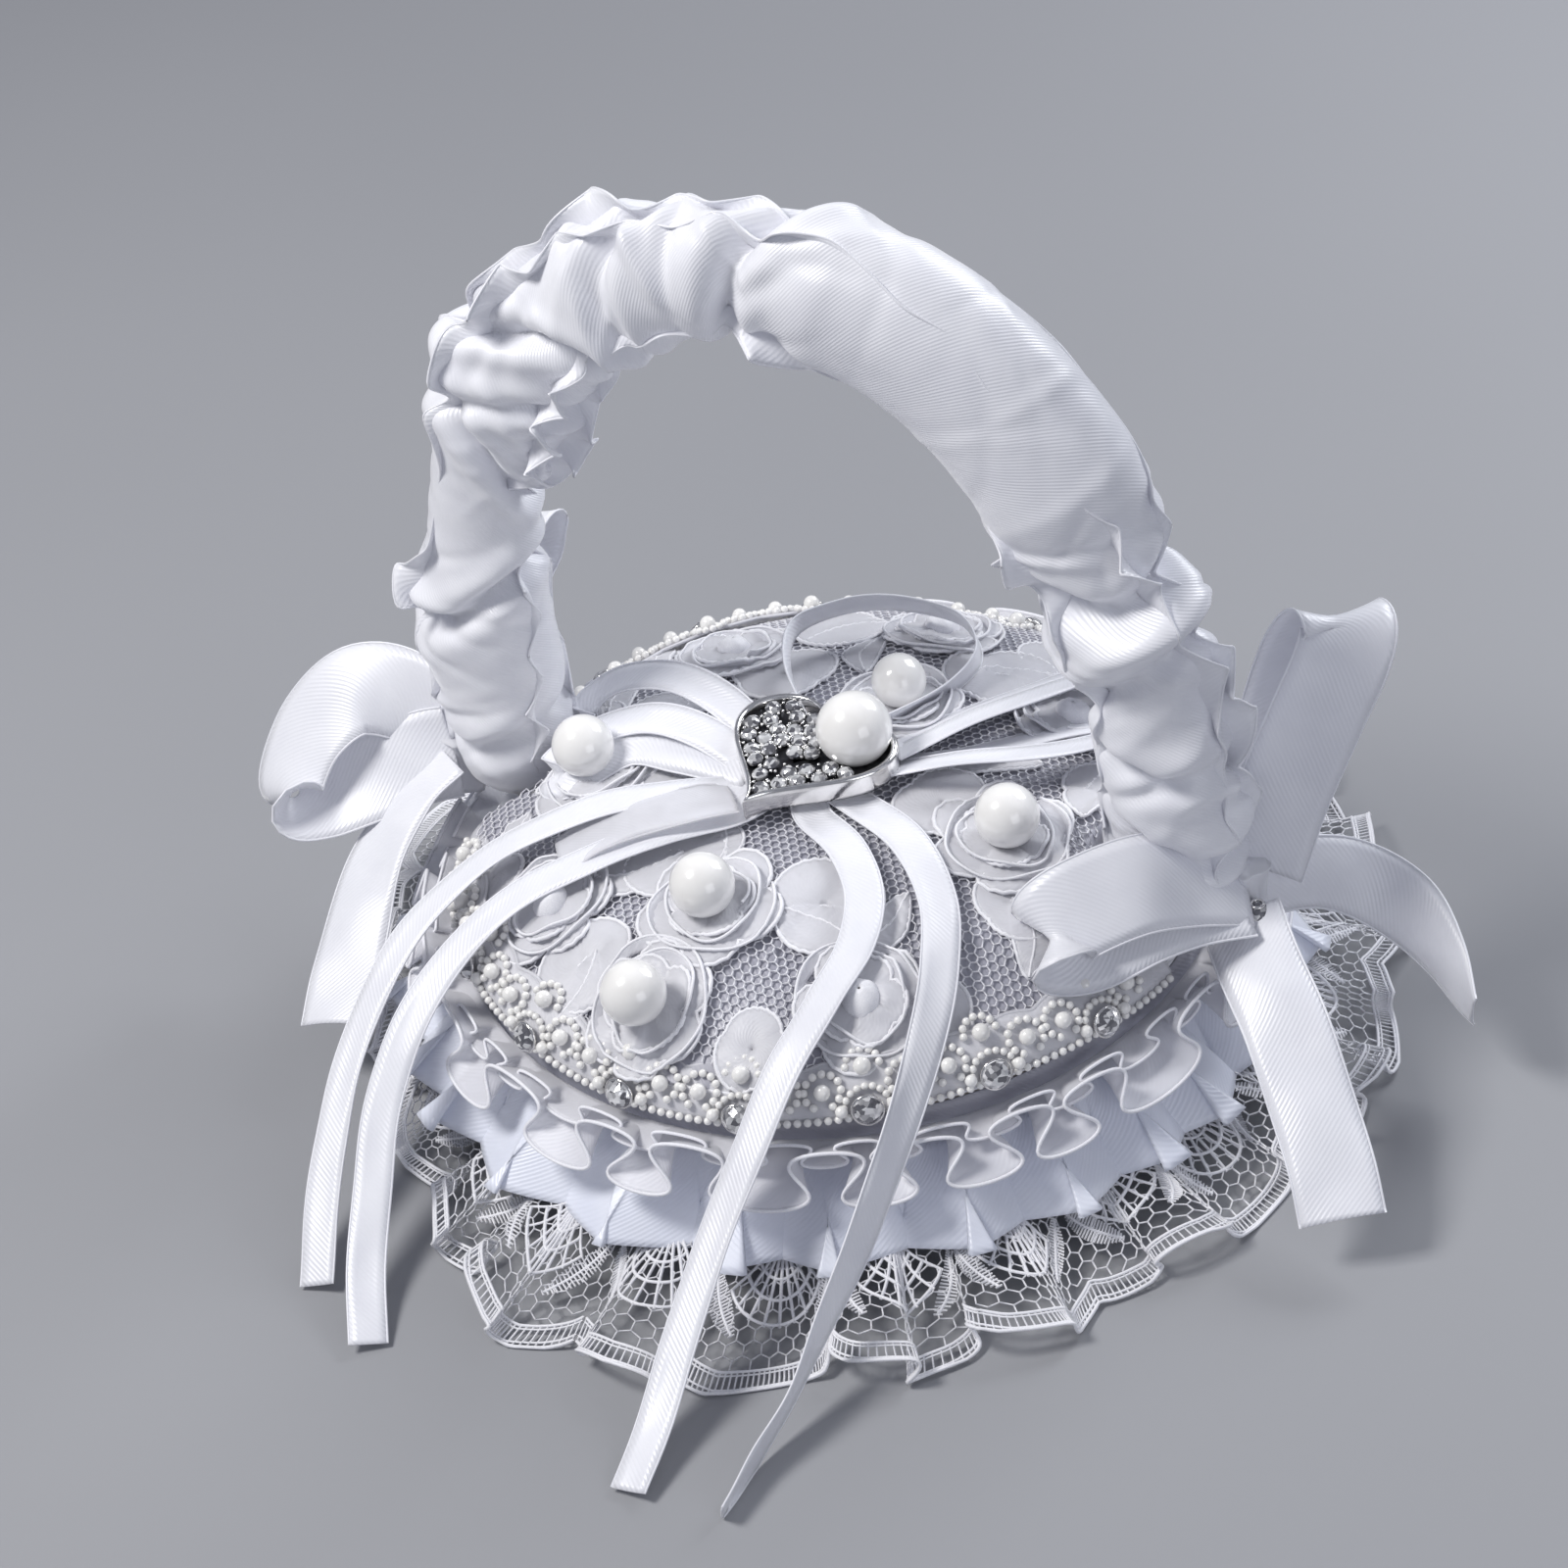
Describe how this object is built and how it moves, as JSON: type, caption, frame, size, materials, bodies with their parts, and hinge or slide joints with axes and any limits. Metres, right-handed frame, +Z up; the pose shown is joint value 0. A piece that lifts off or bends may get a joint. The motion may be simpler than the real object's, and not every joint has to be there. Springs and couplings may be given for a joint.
{
  "type": "flower girl basket",
  "caption": "Round satin flower girl basket with a padded lift-off lid, ribbon-wrapped arch handle, lace and satin frills, bows, pearls and a jewelled heart.",
  "frame": {"origin": "centre of the round tub's underside, on the surface that the basket stands on", "axes": "+Z up, the handle spans X, and the front with the ribbon streamers faces -Y"},
  "size_m": [0.1966, 0.1893, 0.1356],
  "materials": {
    "card": "matt",
    "cover_satin": "satin weave",
    "ruffle_satin": "satin weave",
    "ribbon_satin": "satin weave",
    "organza": "sheer",
    "lace": "openwork",
    "net": "openwork",
    "foam": "matt",
    "handle_band": "matt",
    "staple_steel": "brushed",
    "pearl": "pearl lustre",
    "crystal": "clear, foil backed",
    "silver": "polished"
  },
  "bodies": {
    "basket": {"base_cover": "cover_satin", "base_board": "card", "tub_wall": "card", "tub_lining": "cover_satin", "wall_cover": "cover_satin", "rim_binding": "ruffle_satin", "lace_skirt": "lace", "satin_ruffle": "ruffle_satin", "organza_ruffle": "organza", "handle_core": "handle_band", "handle_staples": "staple_steel", "handle_sleeve": "ribbon_satin", "left_bow_knot": "ribbon_satin", "left_bow_front_loop": "ribbon_satin", "left_bow_back_loop": "ribbon_satin", "left_bow_tail": "ribbon_satin", "right_bow_knot": "ribbon_satin", "right_bow_front_loop": "ribbon_satin", "right_bow_back_loop": "ribbon_satin", "right_bow_front_tail": "ribbon_satin", "right_bow_side_tail": "ribbon_satin", "bow_crystal": "crystal", "bow_pearl": "pearl"},
    "lid": {"lid_board": "card", "lid_locating_ring": "card", "lid_pad": "foam", "lid_satin_cover": "cover_satin", "lid_net_cover": "net", "lace_flowers": "lace", "lid_pearls": "pearl", "trim_band": "organza", "trim_pearls": "pearl", "trim_seed_pearls": "pearl", "trim_rhinestones": "crystal", "heart_cup": "silver", "heart_stones": "crystal", "heart_pearl": "pearl", "ribbon_knot": "ribbon_satin", "ribbon_loops": "ribbon_satin", "organza_tail": "organza", "streamer_1": "ribbon_satin", "streamer_2": "ribbon_satin", "streamer_3": "ribbon_satin", "streamer_4": "ribbon_satin"}
  },
  "joints": [
    {"name": "lid_lift", "type": "slide", "parent": "basket", "child": "lid", "axis": [0, 0, 1], "range_m": [0, 0.03], "deforming": ["right_bow_front_loop"]}
  ]
}
